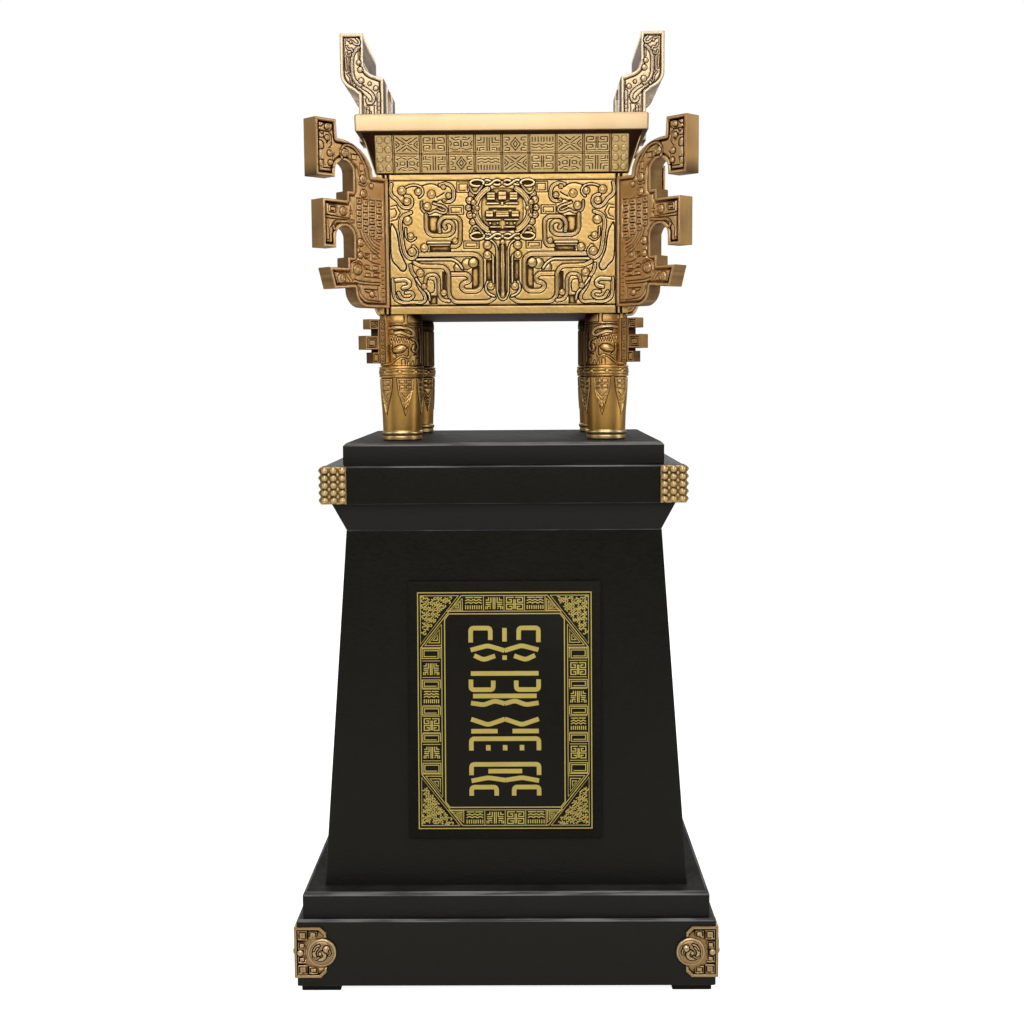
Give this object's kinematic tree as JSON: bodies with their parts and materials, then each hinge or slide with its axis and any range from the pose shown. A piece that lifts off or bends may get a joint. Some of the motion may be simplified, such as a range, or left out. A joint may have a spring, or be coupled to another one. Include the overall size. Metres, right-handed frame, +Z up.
{
  "type": "bronze ding vessel",
  "caption": "Square four-legged bronze ding with upright ears, corner flanges and dragon relief, on a tapered black lacquered pedestal with brass corner fittings and a plaque.",
  "frame": {"origin": "on the floor, under the middle of the pedestal's footprint", "axes": "+Z up, front with the plaque towards -Y, ears towards +X and -X"},
  "size_m": [0.6576, 0.6576, 1.482],
  "materials": {
    "bronze_gilt": "satin golden bronze with dark brown patina in the recesses",
    "brass_antique": "antique brass, worn bright on the high places",
    "lacquer_black": "satin black lacquer over open-grained wood",
    "plaque_black": "black plate with fine gold line work"
  },
  "bodies": {
    "root": {"cap_corner_mount_1": "brass_antique", "cap_corner_mount_2": "brass_antique", "cap_corner_mount_3": "brass_antique", "cap_corner_mount_4": "brass_antique", "ding_vessel": "bronze_gilt", "pedestal_base_step": "lacquer_black", "pedestal_cap": "lacquer_black", "pedestal_column": "lacquer_black", "pedestal_foot_1": "lacquer_black", "pedestal_foot_2": "lacquer_black", "pedestal_foot_3": "lacquer_black", "pedestal_foot_4": "lacquer_black", "pedestal_neck_moulding": "lacquer_black", "pedestal_plinth": "lacquer_black", "pedestal_top_slab": "lacquer_black", "plaque_board": "lacquer_black", "plaque_panel": "plaque_black", "plinth_corner_mount_1": "brass_antique", "plinth_corner_mount_2": "brass_antique", "plinth_corner_mount_3": "brass_antique", "plinth_corner_mount_4": "brass_antique"}
  },
  "joints": []
}
